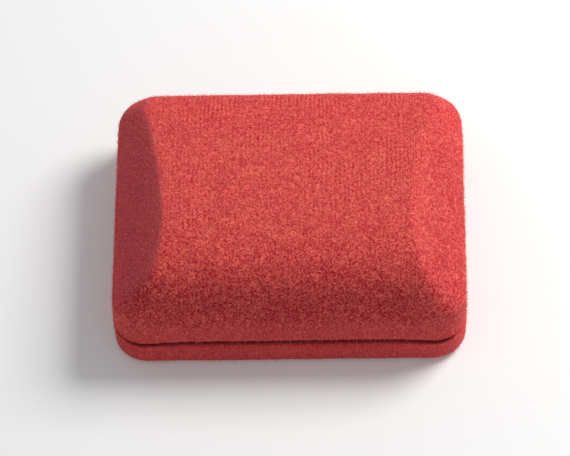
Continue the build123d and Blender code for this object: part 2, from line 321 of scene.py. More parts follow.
def crown_arcs(form):
    """Arcs over the lid from front to back: centre, radius, slopes at both ends, number of planes."""
    wall = Vector((-HALF_DEPTH, form.wall_top))
    rising = Vector((math.cos(form.front_slope), math.sin(form.front_slope)))
    nose_start = wall + rising * form.front_slope_length
    nose = nose_start - outward_at(form.front_slope) * form.nose_round
    shoulder = nose + outward_at(form.nose_end) * (form.nose_round - form.shoulder_round)
    shoulder_out = outward_at(form.shoulder_end)
    arch_start = shoulder + shoulder_out * form.shoulder_round
    back = Vector((HALF_DEPTH - form.back_run, form.wall_top + form.back_rise))
    chord = back - arch_start
    arch_radius = -chord.length_squared / (2 * chord.dot(shoulder_out))
    arch = arch_start - shoulder_out * arch_radius
    back_slope = -math.atan2(form.back_rise, form.back_run)
    rounding = rounding_centre(back, outward_at(back_slope), arch, arch_radius, form.back_round)
    away = rounding - arch
    arch_end = math.atan2(-away.x, away.y)
    return (
        (nose, form.nose_round, form.front_slope, form.nose_end, 18),
        (shoulder, form.shoulder_round, form.nose_end, form.shoulder_end, 8),
        (arch, arch_radius, form.shoulder_end, arch_end, 14),
        (rounding, form.back_round, arch_end, back_slope, 14),
    )


def rounding_centre(line_point, line_normal, centre, big_radius, radius):
    """Centre of a small circle inside a big one that also touches a line from inside."""
    start = line_point - line_normal * radius
    along = Vector((-line_normal.y, line_normal.x))
    offset = start - centre
    half = offset.dot(along)
    root = math.sqrt(half**2 - offset.length_squared + (big_radius - radius) ** 2)
    places = [start + along * (-half + sign * root) for sign in (-1, 1)]
    return max(places, key=lambda place: place.y)


def crown_planes(form, inset):
    """Planes over the lid from front to back: nose, shoulder, long arch and back rounding."""
    for centre, radius, first, last, steps in crown_arcs(form):
        for step in range(1, steps + 1):
            outward = outward_at(first + (last - first) * step / steps)
            place = centre + outward * (radius - inset)
            yield Vector((0, place.x, place.y)), Vector((0, outward.x, outward.y))


def slant_plane(form, upward, room):
    """The plane that cuts a rim off along the back. Upward is 1 for the lid or -1 for the base."""
    start = Vector((0, HINGE_Y, HINGE_Z + upward * room))
    return start, Vector((0, math.sin(form.slant), -upward * math.cos(form.slant)))


def carve(piece, planes):
    """Cut away all that lies outside each of the planes."""
    edit(piece)
    for point, normal in planes:
        bpy.ops.mesh.select_all(action="SELECT")
        bpy.ops.mesh.bisect(
            plane_co=point, plane_no=normal, use_fill=True, clear_outer=True, threshold=PRECISE
        )
    leave()


def lid_block(name, inset, bottom):
    """The lid's outer form, brought in by inset, from bottom up."""
    form = bpy.context.scene.box_form
    return rounded_block(name, inset, bottom, form.wall_top + form.slopes_rise)


def carve_lid(piece, inset, ease=0.0):
    """Give a block the lid's slopes and crown."""
    form = bpy.context.scene.box_form
    carve(piece, slope_planes(form, inset, ease))
    over_crown = list(crown_planes(form, inset))
    # The last plane over the crown is the back slope once more
    carve(piece, over_crown[:-1])


def apply_modifier(piece, kind, **settings):
    """Add a modifier, set it and apply it."""
    start_from(piece)
    made = piece.modifiers.new(kind.lower(), kind)
    for key, value in settings.items():
        setattr(made, key, value)
    bpy.ops.object.modifier_apply(modifier=made.name)


def remesh(piece, step):
    """Give a closed piece an even mesh."""
    apply_modifier(piece, "REMESH", mode="VOXEL", voxel_size=step)


def uneven(piece, size, depth, height):
    """Push a surface in and out by a cloud pattern."""
    pattern = bpy.data.textures.new(piece.name + "_clouds", "CLOUDS")
    pattern.noise_scale = size
    pattern.noise_depth = depth
    apply_modifier(piece, "DISPLACE", texture=pattern, strength=height, mid_level=0.5)


def relax(piece, times, low, high):
    """Smooth a piece, from not at all at one height to fully at another."""
    group = piece.vertex_groups.new(name="relaxed")
    for vertex in piece.data.vertices:
        share = min(max((vertex.co.z - low) / (high - low), 0.0), 1.0)
        group.add([vertex.index], share, "REPLACE")
    apply_modifier(piece, "SMOOTH", factor=0.5, iterations=times, vertex_group=group.name)
    piece.vertex_groups.clear()


def nudge(piece, shift):
    """Move each vertex by what shift gives for its place."""
    for vertex in piece.data.vertices:
        vertex.co = vertex.co + shift(vertex.co)
    piece.data.update()


def subtract(piece, cutter):
    """Cut one closed piece out of another and delete it."""
    apply_modifier(piece, "BOOLEAN", operation="DIFFERENCE", solver="EXACT", object=cutter)
    bpy.data.objects.remove(cutter)


def merge(piece, other):
    """Unite one closed piece with another and delete it."""
    apply_modifier(piece, "BOOLEAN", operation="UNION", solver="EXACT", object=other)
    bpy.data.objects.remove(other)


def smooth(piece, degrees=40):
    """Shade a finished piece smooth, with its edges kept."""
    start_from(piece)
    bpy.ops.object.shade_smooth_by_angle(angle=math.radians(degrees))


def outline_plate(name, inset, height, cuts):
    """A level plate with the box's rounded outline, its long sides cut into short stretches."""
    form = bpy.context.scene.box_form
    bpy.ops.object.select_all(action="DESELECT")
    bpy.ops.mesh.primitive_plane_add(size=1.0, location=(0, 0, height))
    plate = bpy.context.active_object
    plate.name = name
    plate.scale = (2 * (HALF_WIDTH - inset), 2 * (HALF_DEPTH - inset), 1.0)
    bpy.ops.object.transform_apply(location=True, rotation=True, scale=True)
    edit(plate)
    bpy.ops.mesh.select_all(action="SELECT")
    radius = max(form.corner_radius - inset, form.smallest_corner)
    corner_steps = 8
    bpy.ops.mesh.bevel(offset=radius, segments=corner_steps, affect="VERTICES")
    pick(plate, "EDGE", lambda edge: edge.calc_length() > HALF_DEPTH)
    bpy.ops.mesh.subdivide(number_cuts=cuts)
    leave()
    return plate


def swell(piece, held, pressure, spare, cap):
    """Let a cloth simulation swell a piece between the points that are held, each by at most cap."""
    # Cloth swells well at the size of metres, so the piece is enlarged for the simulation
    bigger, frames = 15.0, 20
    rest = [vertex.co.copy() for vertex in piece.data.vertices]
    group = piece.vertex_groups.new(name="held")
    group.add([index for index, place in enumerate(rest) if held(place)], 1.0, "REPLACE")
    piece.data.transform(Matrix.Scale(bigger, 4))
    start_from(piece)
    cloth = piece.modifiers.new("cloth", "CLOTH")
    cloth.settings.vertex_group_mass = group.name
    cloth.settings.use_pressure = True
    cloth.settings.uniform_pressure_force = pressure
    cloth.settings.shrink_min = -spare
    cloth.settings.effector_weights.gravity = 0.0
    cloth.collision_settings.use_collision = False
    cloth.point_cache.frame_start = 1
    cloth.point_cache.frame_end = frames
    for frame_number in range(1, frames + 1):
        bpy.context.scene.frame_set(frame_number)
    bpy.ops.object.modifier_apply(modifier=cloth.name)
    bpy.context.scene.frame_set(1)
    piece.data.transform(Matrix.Scale(1 / bigger, 4))
    piece.vertex_groups.clear()
    for vertex, place in zip(piece.data.vertices, rest):
        step = vertex.co - place
        if step.length > cap:
            vertex.co = place + step * (cap / step.length)
    piece.data.update()


class Field:
    """A value that varies over a surface, for use in plain arithmetic."""

    def __init__(self, finish, socket):
        self.finish = finish
        self.socket = socket

    def calculate(self, operation, *values):
        return self.finish.node("ShaderNodeMath", {"operation": operation}, dict(enumerate(values)))

    def __add__(self, other):
        return self.calculate("ADD", self, other)

    def __sub__(self, other):
        return self.calculate("SUBTRACT", self, other)

    def __mul__(self, other):
        return self.calculate("MULTIPLY", self, other)

    def __truediv__(self, other):
        return self.calculate("DIVIDE", self, other)

    def __rsub__(self, other):
        return self.calculate("SUBTRACT", other, self)

    __radd__ = __add__
    __rmul__ = __mul__

    def step(self, low, high):
        """0 below low, 1 above high, and a soft step between."""
        inputs = {"Value": self, "From Min": low, "From Max": high}
        return self.finish.node("ShaderNodeMapRange", {"interpolation_type": "SMOOTHSTEP"}, inputs)

    def size(self):
        return self.calculate("ABSOLUTE", self)

    def at_least(self, low):
        return self.calculate("MAXIMUM", self, low)

    def wave(self):
        return self.calculate("SINE", self)


class Finish:
    """A procedural material, built node by node from expressions in millimetres."""

    def __init__(self, name, constants):
        self.material = bpy.data.materials.new(name)
        self.material.use_nodes = True
        self.tree = self.material.node_tree
        self.shader = self.tree.nodes["Principled BSDF"]
        for key, value in constants.items():
            self.shader.inputs[key].default_value = value
        object_place = self.node("ShaderNodeTexCoord", {}, {}, "Object")
        inputs = {0: object_place, 1: (1 / MM,) * 3}
        self.place = self.node("ShaderNodeVectorMath", {"operation": "MULTIPLY"}, inputs)
        self.x, self.y, self.z = (
            self.node("ShaderNodeSeparateXYZ", {}, {0: self.place}, axis) for axis in "XYZ"
        )

    def fill(self, socket, value):
        if isinstance(value, Field):
            self.tree.links.new(value.socket, socket)
        else:
            socket.default_value = value

    def node(self, kind, settings, inputs, output=0):
        made = self.tree.nodes.new(kind)
        for key, value in settings.items():
            setattr(made, key, value)
        for key, value in inputs.items():
            self.fill(made.inputs[key], value)
        return Field(self, made.outputs[output])

    def at(self, x, y, z):
        """A place made of three values."""
        return self.node("ShaderNodeCombineXYZ", {}, {"X": x, "Y": y, "Z": z})

    def noise(self, size, detail=2.0, roughness=0.5, place=None, swirl=0.0):
        """Clouds whose blotches are about size millimetres wide."""
        inputs = {
            "Vector": self.place if place is None else place,
            "Scale": 1.0 / size,
            "Detail": detail,
            "Roughness": roughness,
            "Distortion": swirl,
        }
        return self.node("ShaderNodeTexNoise", {}, inputs)

    def cells(self, size, feature="F1"):
        """Distance to the middle or to the edge of cells that are about size millimetres wide."""
        inputs = {"Vector": self.place, "Scale": 1.0 / size}
        return self.node("ShaderNodeTexVoronoi", {"feature": feature}, inputs, "Distance")

    def mix(self, share, first, second):
        """A colour between two colours."""
        made = self.tree.nodes.new("ShaderNodeMix")
        made.data_type = "RGBA"
        colours = [socket for socket in made.inputs if socket.type == "RGBA"]
        self.fill(made.inputs[0], share)
        for socket, value in zip(colours, (first, second)):
            self.fill(socket, value if isinstance(value, Field) else (*value, 1.0))
        return Field(self, next(socket for socket in made.outputs if socket.type == "RGBA"))

    def show(self, shade=None, roughness=None, height=None, strength=0.5, depth=0.1):
        """Join the finished fields to the shader. Depth is in millimetres."""
        if shade is not None:
            self.fill(self.shader.inputs["Base Color"], shade)
        if roughness is not None:
            self.fill(self.shader.inputs["Roughness"], roughness)
        if height is not None:
            inputs = {"Height": height, "Strength": strength, "Distance": depth * MM}
            self.fill(self.shader.inputs["Normal"], self.node("ShaderNodeBump", {}, inputs))
        return self.material


def coat(piece, material):
    """Give a piece one material all over."""
    piece.data.materials.clear()
    piece.data.materials.append(material)


def belongs(piece, node, body):
    """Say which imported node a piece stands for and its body."""
    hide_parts(node)
    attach(piece, body)


def darker(shade, share):
    """A colour brought down to a share of its brightness."""
    return tuple(value * share for value in shade)


def velour_finish(name, look):
    """Red knit velour: curled pile in tufts, ribs from front to back, warmer patches, and painted light
    and shade: a lighter top with a warm highlight, a darker front, a crimson left bevel and a dark seam.
    """
    constants = {
        "Roughness": 0.9,
        "Specular IOR Level": 0.1,
        "Sheen Weight": 0.18,
        "Sheen Roughness": 0.5,
        "Sheen Tint": (1.0, 0.38, 0.44, 1.0),
    }
    finish = Finish(name, constants)
    half_width, wall_z, bevel_slope = 37.0, 14.8, 0.863
    ends = finish.x.size()
    above_wall = (finish.z - wall_z).at_least(0.0)
    # The left bevel faces away from the key light and gets painted shade: a cooler crimson and less
    # contrast in its pile
    on_bevel = (ends + above_wall * bevel_slope).step(half_width - 0.7, half_width + 0.1)
    shaded_left_bevel = on_bevel * (1.0 - finish.x.step(-20.0, 20.0))

    # The knit goes on over the bevels and down the walls at the same pitch
    bevel_start, bevel_stretch, end_share = 25.0, 0.53, ends.step(27.0, 33.0)
    beyond = (ends - bevel_start).at_least(0.0) * bevel_stretch
    across = ends + beyond + ends.step(31.0, 36.5) * (wall_z - finish.z)
    turn_per_mm = 2 * math.pi / (look.rib_pitch / MM)
    ribs = (across * turn_per_mm + finish.noise(4.5) * 9.0).wave()
    towards_back = finish.y.step(-24.0, 6.0)
    rib_share = finish.noise(11.0, 1.0).step(0.35, 0.7) * towards_back * (1.0 - end_share)

    # Tufts of pile, thin curled ends on them, and the grain between
    tuft = look.tuft_size / MM
    knit_place = finish.at(across, finish.y * 0.8, finish.z * 0.8)
    tufts = finish.noise(tuft, 1.0, 0.5, knit_place, 0.8) - 0.5
    curl_lines = (finish.noise(tuft * 1.8, 1.0, 0.5, swirl=1.2) - 0.5).size()
    curls = (1.0 - curl_lines * 11.0).at_least(0.0)
    fine = finish.noise(tuft * 0.45, 2.0) - 0.5
    low_to_high = 0.3 + finish.z.step(8.0, 20.0) * 0.7
    front_to_back = 1.0 - finish.y.step(0.0, 28.0) * 0.4
    contrast = low_to_high * (1.0 - shaded_left_bevel * 0.3) * front_to_back
    detail = (tufts * 0.4 + (curls - 0.3) * 0.4 + fine * 0.5) * contrast
    detail = detail + ribs * (0.01 + rib_share * 0.06)

    # Colours, from the depth of the pile to its tips. The top is painted lighter and the front darker,
    # as painted light and shade.
    patches = finish.noise(6.3, 2.0, 0.55) - 0.5
    front_shade = 1.0 - finish.y.step(-30.0, -8.0)
    top_light = finish.z.step(20.5, 26.0) * (1.0 - finish.y.step(2.0, 26.0))
    share = detail * 4.0 + patches * 0.22 + 0.45 + top_light * 0.20 - front_shade * 0.11
    red = finish.mix(share, tuple(look.dark), tuple(look.light))
    # Warm patches of the pile, made stronger on the top, away from the front, as a painted highlight
    # where the fibre tips catch the key light
    warm_share = finish.noise(2.9, 3.0, 0.6).step(0.50, 0.75) * share
    key_lit_top = finish.z.step(19.0, 26.0) * (1.0 - front_shade)
    red = finish.mix(warm_share * (0.05 + key_lit_top * 0.45), red, tuple(look.warm))
    # Painted shade: the left bevel is tinted a cooler crimson
    red = finish.mix(shaded_left_bevel * 0.45, red, tuple(look.shaded_left_bevel))
    # Painted shade in the seam between lid and base, strongest along the front
    seam_z, seam_reach = (BASE_HIGH.z + LID_LOW.z) / 2 / MM, 0.95
    seam_shade = (1.0 - (finish.z - seam_z).size() / seam_reach).step(0.0, 0.7)
    along_front = finish.y.size().step(26.5, 29.2)
    red = finish.mix(seam_shade * (0.1 + along_front * 0.65), red, darker(look.dark, 0.3))
    return finish.show(red, height=detail, strength=0.9, depth=0.3)


def fibre_finish(look):
    """Loose ends of the pile, some of them paler."""
    finish = Finish("loose_fibres", {"Roughness": 0.8, "Sheen Weight": 0.3})
    pale = finish.noise(0.8, 2.0).step(0.4, 0.6)
    return finish.show(finish.mix(pale, tuple(look.light), tuple(look.fibre)))


def velvet_finish(look):
    """Ivory velvet: short pile, brushed this way and that."""
    constants = {
        "Roughness": 0.85,
        "Specular IOR Level": 0.15,
        "Sheen Weight": 0.5,
        "Sheen Roughness": 0.4,
        "Sheen Tint": (1.0, 0.97, 0.9, 1.0),
    }
    finish = Finish("ivory_velvet", constants)
    pile = finish.noise(0.16, 3.0, 0.6)
    brushed = finish.noise(5.0, 2.0, 0.5, finish.at(finish.x, finish.y * 0.6, finish.z))
    share = (pile * 0.65 + brushed * 0.35).step(0.28, 0.72)
    shade = finish.mix(share, darker(look.ivory, 0.8), tuple(look.ivory))
    return finish.show(shade, height=pile, strength=0.5, depth=0.12)


def satin_finish(look):
    """Ivory lining satin: long floats of thread, with the odd slub."""
    constants = {
        "Specular IOR Level": 0.5,
        "Anisotropic": 0.5,
        "Sheen Weight": 0.15,
        "Sheen Roughness": 0.3,
    }
    finish = Finish("ivory_satin", constants)
    floats = finish.noise(0.12, 1.0, 0.5, finish.at(finish.x * 0.15, finish.y, finish.z))
    weft = finish.noise(0.16, 1.0, 0.5, finish.at(finish.x, finish.y * 0.2, finish.z * 0.2))
    slubs = finish.noise(3.0, 2.0).step(0.6, 0.8)
    share = floats * 0.6 + weft * 0.25 + slubs * 0.15
    shade = finish.mix(share, darker(look.satin, 0.86), tuple(look.satin))
    return finish.show(shade, floats * 0.16 + 0.27, floats * 0.6 + weft * 0.4, 0.35, 0.04)


def cord_finish(look):
    """Twisted satin cord: each strand is spun of fine shiny fibres."""
    finish = Finish("satin_cord", {"Specular IOR Level": 0.5, "Sheen Weight": 0.2})
    fibres = finish.noise(0.09, 2.0, 0.6)
    shade = finish.mix(fibres, darker(look.satin, 0.7), tuple(look.satin))
    return finish.show(shade, fibres * 0.2 + 0.3, fibres, 0.4, 0.05)


def moulded_finish():
    """Matt black moulded plastic with a fine spark-eroded grain and flow marks."""
    finish = Finish("moulded_plastic", {"Specular IOR Level": 0.4})
    grain = finish.noise(0.25, 3.0, 0.6)
    flow = finish.noise(6.0, 2.0, 0.5, finish.at(finish.x * 0.3, finish.y, finish.z))
    shade = finish.mix(flow, (0.020, 0.019, 0.019), (0.032, 0.030, 0.030))
    return finish.show(shade, grain * 0.2 + 0.45, grain, 0.3, 0.05)


def paper_finish():
    """Dark red embossed paper over card, rubbed paler towards its edges."""
    finish = Finish("red_paper", {"Specular IOR Level": 0.35})
    grain = finish.cells(0.7)
    fibres = finish.noise(0.3, 3.0, 0.6)
    half_width, half_depth = 33.0, 25.5
    edge = (finish.x.size() - half_width).at_least(finish.y.size() - half_depth)
    worn = edge.step(0.0, 1.6) * finish.noise(1.1, 3.0, 0.7).step(0.5, 0.68)
    shade = finish.mix(fibres, (0.075, 0.012, 0.013), (0.12, 0.02, 0.02))
    shade = finish.mix(worn * 0.5, shade, (0.30, 0.16, 0.12))
    return finish.show(shade, fibres * 0.2 + 0.5, grain + fibres * 0.3, 0.45, 0.1)


def gilt_finish(look):
    """Gilt strip, rolled along its length, with small tarnished spots."""
    finish = Finish("gilt_strip", {"Metallic": 1.0, "Anisotropic": 0.4})
    rolled = finish.noise(0.12, 2.0, 0.5, finish.at(finish.x * 0.05, finish.y * 0.05, finish.z))
    tarnish = finish.noise(1.6, 3.0, 0.6).step(0.6, 0.75)
    shade = finish.mix(tarnish * 0.45, tuple(look.gilt), darker(look.gilt, 0.55))
    return finish.show(shade, rolled * 0.16 + tarnish * 0.15 + 0.12, rolled, 0.15, 0.02)


def board_finish():
    """Grey recycled board: flecks and short fibres."""
    finish = Finish("grey_board", {"Roughness": 0.9, "Specular IOR Level": 0.2})
    fibres = finish.noise(0.35, 4.0, 0.7)
    flecks = finish.noise(0.22, 1.0, 0.5).step(0.66, 0.74)
    shade = finish.mix(fibres, (0.27, 0.23, 0.19), (0.42, 0.37, 0.30))
    shade = finish.mix(flecks * 0.6, shade, (0.10, 0.09, 0.08))
    return finish.show(shade, height=fibres, strength=0.5, depth=0.08)


def foam_finish():
    """Thin cream foam with open cells, a little yellowed, with painted shade in the cells' hollows."""
    finish = Finish("cream_foam", {"Roughness": 0.95, "Specular IOR Level": 0.15})
    cell = finish.cells(0.3, "DISTANCE_TO_EDGE")
    hollow = cell.step(0.04, 0.3)
    yellowed = finish.noise(4.0, 2.0)
    shade = finish.mix(yellowed, (0.72, 0.67, 0.52), (0.76, 0.73, 0.62))
    # Painted shade in the hollows of the open cells
    shade = finish.mix(hollow, shade, (0.40, 0.36, 0.27))
    return finish.show(shade, height=1.0 - hollow, strength=0.8, depth=0.12)


def wadding_finish():
    """White wadding: matted fibres with thin and thick places."""
    finish = Finish("white_wadding", {"Roughness": 0.95, "Sheen Weight": 0.3})
    matted = finish.noise(0.3, 5.0, 0.75)
    thick = finish.noise(2.4, 2.0)
    shade = finish.mix(matted * 0.6 + thick * 0.4, (0.55, 0.54, 0.50), (0.82, 0.81, 0.78))
    return finish.show(shade, height=matted, strength=0.8, depth=0.25)


def metal_finish(name, pale, dark, rough, spot_size):
    """Small stamped metal: a drawn grain along the hinge, spots and darker hollows."""
    finish = Finish(name, {"Metallic": 1.0})
    drawn = finish.noise(0.1, 2.0, 0.5, finish.at(finish.x * 0.06, finish.y, finish.z))
    spots = finish.cells(spot_size)
    share = (drawn * 0.5 + spots * 0.6).step(0.15, 0.75)
    stains = finish.noise(1.3, 3.0, 0.65).step(0.55, 0.75)
    shade = finish.mix(share, dark, pale)
    shade = finish.mix(stains * 0.4, shade, darker(dark, 0.5))
    return finish.show(shade, drawn * 0.18 + stains * 0.12 + rough, drawn, 0.2, 0.02)


def loose_fibres(name, ground, count, look, body):
    """Short loose ends of the pile, standing out of a cover's outside at random places."""
    lean_share, root_spread, root_depth = 0.5, 0.8, 0.08 * MM
    shortest, longest = 0.5, 1.4
    chance = random.Random(7)
    bpy.ops.object.select_all(action="DESELECT")
    bpy.ops.mesh.primitive_cone_add(
        vertices=3, radius1=look.fibre_width, depth=1.0, location=(0, 0, 0.5)
    )
    tuft = bpy.context.active_object
    tuft.name = name
    bpy.ops.object.transform_apply(location=True, rotation=True, scale=True)
    shape = [vertex.co.copy() for vertex in tuft.data.vertices]
    corners = [tuple(face.vertices) for face in tuft.data.polygons]
    outside = [face for face in ground.data.polygons if is_on_outside(face)]
    areas = [face.area for face in outside]
    points, faces = [], []
    for face in chance.choices(outside, areas, k=count):
        aside = Vector((chance.gauss(0, 1), chance.gauss(0, 1), chance.gauss(0, 1)))
        lean = (face.normal + aside * lean_share).normalized()
        turn = lean.to_track_quat("Z", "Y").to_matrix()
        spot = ground.data.vertices[chance.choice(face.vertices)].co
        root = face.center.lerp(spot, chance.random() * root_spread) - face.normal * root_depth
        stretch = look.fibre_length * chance.uniform(shortest, longest)
        first = len(points)
        faces.extend(tuple(first + corner for corner in side) for side in corners)
        points.extend(root + turn @ Vector((co.x, co.y, co.z * stretch)) for co in shape)
    tuft.data.clear_geometry()
    tuft.data.from_pydata(points, [], faces)
    coat(tuft, fibre_finish(look))
    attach(tuft, body)


def is_on_outside(face):
    """True for a cover's face on the outside of the box, clear of the underside and the seam.

    Along the back, where the rims come close when the lid is open, a wider stretch is left bare.
    """
    form = bpy.context.scene.box_form
    place, facing = face.center, face.normal
    if place.z > form.wall_top:
        return facing.z > 0.02
    depth = inside_of_outline(place)
    bare_at_back, bare_elsewhere, skin = 3.2 * MM, 0.9 * MM, 0.7 * MM
    bare = bare_at_back if place.y > HINGE_Y - 1.5 * MM else bare_elsewhere
    is_near_rim = abs(place.z - HINGE_Z) < bare
    return depth < skin and not is_near_rim and facing.dot(outward_from(place)) > 0.3


def hinge_gap(name, bottom, top, inner_inset, outer_inset):
    """A block that clears the hinge along the back wall."""
    room = 0.3 * MM
    half_length = LEAF_HIGH.x + room
    return block(
        name,
        (-half_length, HALF_DEPTH - inner_inset, bottom),
        (half_length, HALF_DEPTH - outer_inset, top),
    )


def past_corner_centre(place, radius):
    """How far a place lies past the centre of the outline's nearest corner, across and along."""
    return Vector((abs(place.x) - HALF_WIDTH + radius, abs(place.y) - HALF_DEPTH + radius))


def inside_of_outline(place):
    """How far a place lies inside the box's rounded outline."""
    radius = bpy.context.scene.box_form.corner_radius
    corner = past_corner_centre(place, radius)
    if corner.x > 0 and corner.y > 0:
        return radius - corner.length
    return radius - max(corner.x, corner.y)


def outward_from(place):
    """Level direction straight out of the box's rounded outline at a place."""
    corner = past_corner_centre(place, bpy.context.scene.box_form.corner_radius)
    if corner.x > 0 and corner.y > 0:
        away = corner.normalized()
    else:
        away = Vector((1, 0)) if corner.x > corner.y else Vector((0, 1))
    return Vector((math.copysign(away.x, place.x), math.copysign(away.y, place.y), 0))


def pocket(name, form, shell_bottom, shell_top, upward):
    """What a cover leaves free: the shell's layer, the mouth, and the groove round the turn-in.

    Upward is 1 for the base, which is open at the top, or -1 for the lid.
    """
    beyond = 1 * MM
    face = shell_top if upward > 0 else shell_bottom
    mouth = face + upward * (form.cover + beyond)
    shell_inner = form.cover + form.shell
    turn_in_inner = shell_inner + form.turn_in
    room = rounded_block(name, form.cover, shell_bottom, shell_top)
    edit(room)
    pick(room, "FACE", at_height(face))
    bpy.ops.mesh.inset(thickness=form.shell)
    bpy.ops.mesh.inset(thickness=form.turn_in)
    bpy.ops.mesh.extrude_region_move(TRANSFORM_OT_translate={"value": (0, 0, mouth - face)})

    def on_turn_in(element):
        depth = inside_of_outline(element.calc_center_median())
        return at_height(face)(element) and shell_inner < depth < turn_in_inner

    pick(room, "FACE", on_turn_in)
    groove = -upward * form.turn_in_reach
    bpy.ops.mesh.extrude_region_move(TRANSFORM_OT_translate={"value": (0, 0, groove)})
    bpy.ops.mesh.select_all(action="SELECT")
    bpy.ops.mesh.normals_make_consistent(inside=False)
    leave()
    low, high = sorted((face, mouth))
    merge(room, hinge_gap("rim_gap", low, high, turn_in_inner, -beyond))
    low, high = sorted((face + groove - upward * form.fit, face + upward * form.cover / 2))
    gap = hinge_gap("turn_in_gap", low, high, turn_in_inner + form.fit, shell_inner - form.fit)
    merge(room, gap)
    return room


def close_corners(form, rim, upward):
    """A shift that fills a rim's rounding at the front corners, so that the seam fades there."""
    reach_up, closing, filling = 3.0 * MM, 0.08 * MM, 0.7 * MM
    start, end, front_reach = 6.0 * MM, 16.0 * MM, 30.0 * MM

    def shift(place):
        near_rim = max(1 - abs(place.z - rim) / reach_up, 0.0)
        rounded = max(1 - abs(place.z - rim) / form.rim_round, 0.0)
        inward = Vector((HALF_WIDTH - abs(place.x), HALF_DEPTH - abs(place.y)))
        at_corner = min(max((end - inward.x - inward.y) / (end - start), 0.0), 1.0)
        is_front = min(max(0.5 - place.y / front_reach, 0.0), 1.0)
        share = at_corner * is_front
        out = outward_from(place) * (filling * rounded * share)
        return out + Vector((0, 0, -upward * closing * near_rim * share))

    return shift


def pile_surface(cover, look, shift, sag_share):
    """Soften a cover, close its corners and give it the unevenness of its pile."""
    apply_modifier(cover, "SMOOTH", factor=0.5, iterations=3)
    nudge(cover, shift)
    uneven(cover, look.sag_size, 1, look.sag_height * sag_share)
    uneven(cover, look.pile_size, 2, look.pile_height)


def finish_cover(cover, body, look, fibre_count):
    """Shade a hollowed cover, give it its velour and its loose fibres."""
    smooth(cover)
    coat(cover, velour_finish("velour_" + body, look))
    belongs(cover, body + "_cover", body)
    loose_fibres(body + "_fibres", cover, fibre_count, look, body)


class BOX_OT_lid_velour(Operator):
    """Velour over the lid: walls, slopes and crown, rolled in over the rim"""

    bl_idname = "box.lid_velour"
    bl_label = "Lid velour"

    def execute(self, context):
        form, look = context.scene.box_form, context.scene.velour_look
        rim, relaxed_reach = LID_LOW.z, 4 * MM
        cover = lid_block("lid_velour", 0.0, rim)
        round_level_edge(cover, rim, form.rim_round)
        carve_lid(cover, 0.0, form.back_ease)
        carve(cover, [slant_plane(form, 1, form.slant_room)])
        remesh(cover, look.mesh_step)
        relax(cover, 30, form.wall_top - relaxed_reach, form.wall_top)
        pile_surface(cover, look, close_corners(form, rim, 1), 1.0)
        room = pocket("lid_room", form, SHELL_LOW.z, form.wall_top + form.slopes_rise, -1)
        carve_lid(room, form.cover)
        subtract(cover, room)
        finish_cover(cover, "lid", look, look.fibre_count)
        return {"FINISHED"}


class BOX_OT_base_velour(Operator):
    """Velour round the base, rolled in over the rim and turned under the bottom"""

    bl_idname = "box.base_velour"
    bl_label = "Base velour"

    def execute(self, context):
        form, look = context.scene.box_form, context.scene.velour_look
        foot, rim = BASE_LOW.z, BASE_HIGH.z
        cover = rounded_block("base_velour", 0.0, foot, rim)
        round_level_edge(cover, rim, form.rim_round)
        round_level_edge(cover, foot, form.foot_round)
        carve(cover, [slant_plane(form, -1, form.slant_room)])
        remesh(cover, look.mesh_step)
        pile_surface(cover, look, close_corners(form, rim, -1), 0.6)
        room = pocket("base_room", form, TRAY_LOW.z, TRAY_HIGH.z, 1)
        under = rounded_block("under_room", form.under_margin, foot - 1 * MM, TRAY_LOW.z + form.fit)
        merge(room, under)
        subtract(cover, room)
        finish_cover(cover, "base", look, look.fibre_count // 6)
        return {"FINISHED"}


class BOX_OT_jewel_pad(Operator):
    """Velvet over the foam and the board of the pad, puffed a little, with a slit for a jewel"""

    bl_idname = "box.jewel_pad"
    bl_label = "Jewel pad"

    def execute(self, context):
        form, look = context.scene.box_form, context.scene.inside_look
        mesh_step, nap_size, nap_height = 0.7 * MM, 0.6 * MM, 0.05 * MM
        turned_under, above_pad = 6 * MM, 3 * MM
        inset = HALF_WIDTH - PAD_HIGH.x
        core_inset = HALF_WIDTH - FOAM_HIGH.x - form.fit / 2
        pad = rounded_block("jewel_pad", inset, PAD_LOW.z, PAD_HIGH.z)
        round_level_edge(pad, PAD_HIGH.z, look.pad_round)
        remesh(pad, mesh_step)
        swell(pad, lambda place: place.z < BOARD_HIGH.z, look.pressure, 0.0, look.pad_swell)
        apply_modifier(pad, "SUBSURF", levels=1)
        half_slit = look.slit_length / 2

        def press(place):
            along = max(abs(place.x) - half_slit, 0.0)
            away = math.hypot(along, place.y) / look.lip_width
            is_top = 1.0 if place.z > FOAM_LOW.z else 0.0
            return Vector((0, 0, -look.lip_depth * math.exp(-away * away) * is_top))

        nudge(pad, press)
        uneven(pad, nap_size, 2, nap_height)
        core = rounded_block("pad_core", core_inset, BOARD_LOW.z - form.fit / 2, FOAM_HIGH.z)
        under_inset = inset + turned_under
        merge(core, rounded_block("under_pad", under_inset, PAD_LOW.z - MM, BOARD_LOW.z + form.fit))
        slit = block(
            "slit",
            (-half_slit, -look.slit_width / 2, FOAM_HIGH.z - form.fit),
            (half_slit, look.slit_width / 2, PAD_HIGH.z + above_pad),
        )
        edit(slit)
        pick(slit, "EDGE", upright)
        bpy.ops.mesh.bevel(offset=look.slit_width * 0.49, segments=6, affect="EDGES")
        leave()
        merge(core, slit)
        subtract(pad, core)
        smooth(pad)
        coat(pad, velvet_finish(look))
        belongs(pad, "pad_cover", "base")
        return {"FINISHED"}


